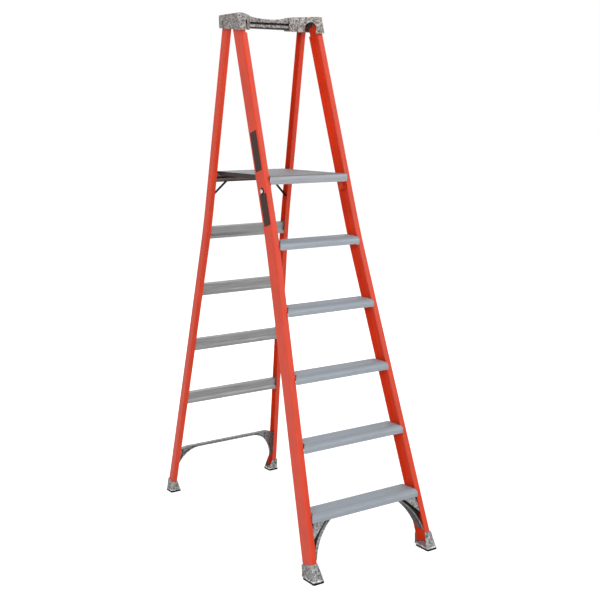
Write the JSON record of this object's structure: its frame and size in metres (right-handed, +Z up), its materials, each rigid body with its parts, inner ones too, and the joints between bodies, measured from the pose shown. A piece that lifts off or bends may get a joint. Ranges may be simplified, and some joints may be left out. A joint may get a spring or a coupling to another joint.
{
  "type": "platform ladder",
  "caption": "Free-standing folding platform ladder: flared fibreglass rails, ribbed aluminium treads, a lift-up deck and a cast guard at the top.",
  "frame": {"origin": "on the floor, at the middle of the footprint", "axes": "+Z up; the climber faces +Y, so the treads are on the -Y side; X runs across the treads"},
  "size_m": [0.705, 1.428, 2.475],
  "materials": {
    "fibreglass": "pultruded, satin",
    "tread_aluminium": "mill, ribbed",
    "bar_aluminium": "mill",
    "cast_aluminium": "as cast",
    "plated_steel": "zinc plated",
    "black_steel": "black paint",
    "red_steel": "painted to match the rails",
    "rubber": "moulded",
    "nylon": "moulded"
  },
  "bodies": {
    "front_frame": {"front_rail_left": "fibreglass", "front_rail_right": "fibreglass", "tread_1": "tread_aluminium", "tread_2": "tread_aluminium", "tread_3": "tread_aluminium", "tread_4": "tread_aluminium", "tread_5": "tread_aluminium", "tread_brackets_left": "plated_steel", "tread_brackets_right": "plated_steel", "front_brace_left": "cast_aluminium", "front_brace_right": "cast_aluminium", "front_boot_left": "cast_aluminium", "front_boot_right": "cast_aluminium", "front_pad_left": "rubber", "front_pad_right": "rubber", "guard_end_left": "cast_aluminium", "guard_end_right": "cast_aluminium", "guard_bar": "cast_aluminium", "rear_hinge_pin_left": "plated_steel", "rear_hinge_pin_right": "plated_steel", "platform_pivot_bolt_left": "plated_steel", "platform_pivot_bolt_right": "plated_steel", "platform_spacer_left": "red_steel", "platform_spacer_right": "red_steel"},
    "rear_frame": {"rear_rail_left": "fibreglass", "rear_rail_right": "fibreglass", "rear_bar_1": "bar_aluminium", "rear_bar_2": "bar_aluminium", "rear_bar_3": "bar_aluminium", "rear_bar_4": "bar_aluminium", "platform_rest_bar": "bar_aluminium", "rest_bar_bracket_left": "plated_steel", "rest_bar_bracket_right": "plated_steel", "rear_foot_brace": "cast_aluminium", "rear_knee_brace_left": "black_steel", "rear_knee_brace_right": "black_steel", "rear_boot_left": "cast_aluminium", "rear_boot_right": "cast_aluminium", "rear_pad_left": "rubber", "rear_pad_right": "rubber", "rear_hinge_bush_left": "nylon", "rear_hinge_bush_right": "nylon"},
    "platform": {"platform_deck": "tread_aluminium", "platform_arm_left": "red_steel", "platform_arm_right": "red_steel"}
  },
  "joints": [
    {"name": "rear_fold", "type": "hinge", "parent": "front_frame", "child": "rear_frame", "pos_m": [0, 0.20621, 2.436], "axis": [-1, 0, 0], "range_deg": [0, 28.6]},
    {"name": "platform_lift", "type": "hinge", "parent": "front_frame", "child": "platform", "pos_m": [0, -0.14042, 1.6677], "axis": [1, 0, 0], "range_deg": [0, 70]}
  ],
  "couplings": [
    {"joint": "platform_lift", "follows": "rear_fold", "ratio": 2.44}
  ]
}
